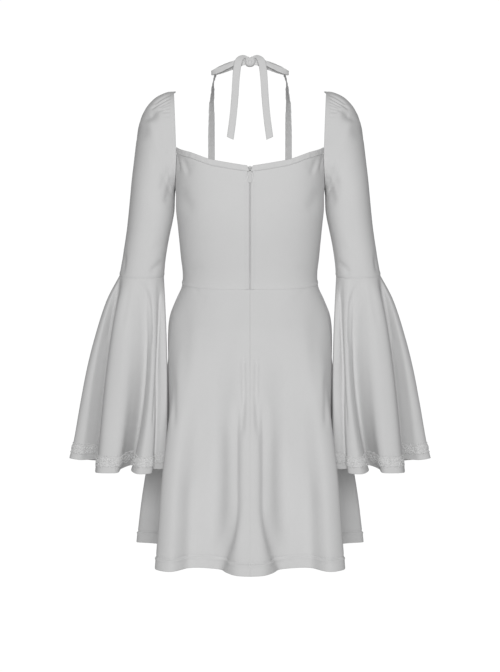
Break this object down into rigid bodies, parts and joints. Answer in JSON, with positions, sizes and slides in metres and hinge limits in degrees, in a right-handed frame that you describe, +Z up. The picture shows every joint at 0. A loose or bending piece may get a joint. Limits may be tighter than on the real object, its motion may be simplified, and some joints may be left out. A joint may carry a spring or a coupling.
{
  "type": "halter dress",
  "caption": "Halter dress on a hollow worn form: square neck, tie at the nape, back zip, long sleeves with lace-trimmed bell cuffs and a flared short skirt.",
  "frame": {"origin": "middle of the halter's loop round the neck, at the height of its knot", "axes": "+Z up as worn, -Y towards the front of the dress, +X towards the wearer's left"},
  "size_m": [0.644, 0.3559, 0.8747],
  "materials": {
    "cloth": "soft matt nap",
    "lace": "raised lace",
    "zip_tape": "woven tape",
    "zip_enamel": "satin"
  },
  "bodies": {
    "dress": {"front_bodice": "cloth", "back_bodice_left": "cloth", "back_bodice_right": "cloth", "front_neck_band": "cloth", "back_neck_band_left": "cloth", "back_neck_band_right": "cloth", "sleeve_left": "cloth", "sleeve_right": "cloth", "bell_left": "cloth", "bell_right": "cloth", "bell_trim_left": "lace", "bell_trim_right": "lace", "skirt_front": "cloth", "skirt_back_left": "cloth", "skirt_back_right": "cloth", "zip_tape": "zip_tape", "zip_slider": "zip_enamel", "halter_strap_left": "cloth", "halter_strap_right": "cloth", "halter_knot": "cloth", "bow_loop_left": "cloth", "bow_loop_right": "cloth", "bow_tail_left": "cloth", "bow_tail_right": "cloth"},
    "pull": {"zip_pull": "zip_enamel"}
  },
  "joints": [
    {"name": "pull_hinge", "type": "hinge", "parent": "dress", "child": "pull", "pos_m": [0, 0.0943, -0.183], "axis": [1, 0, 0], "range_deg": [0, 150]}
  ]
}
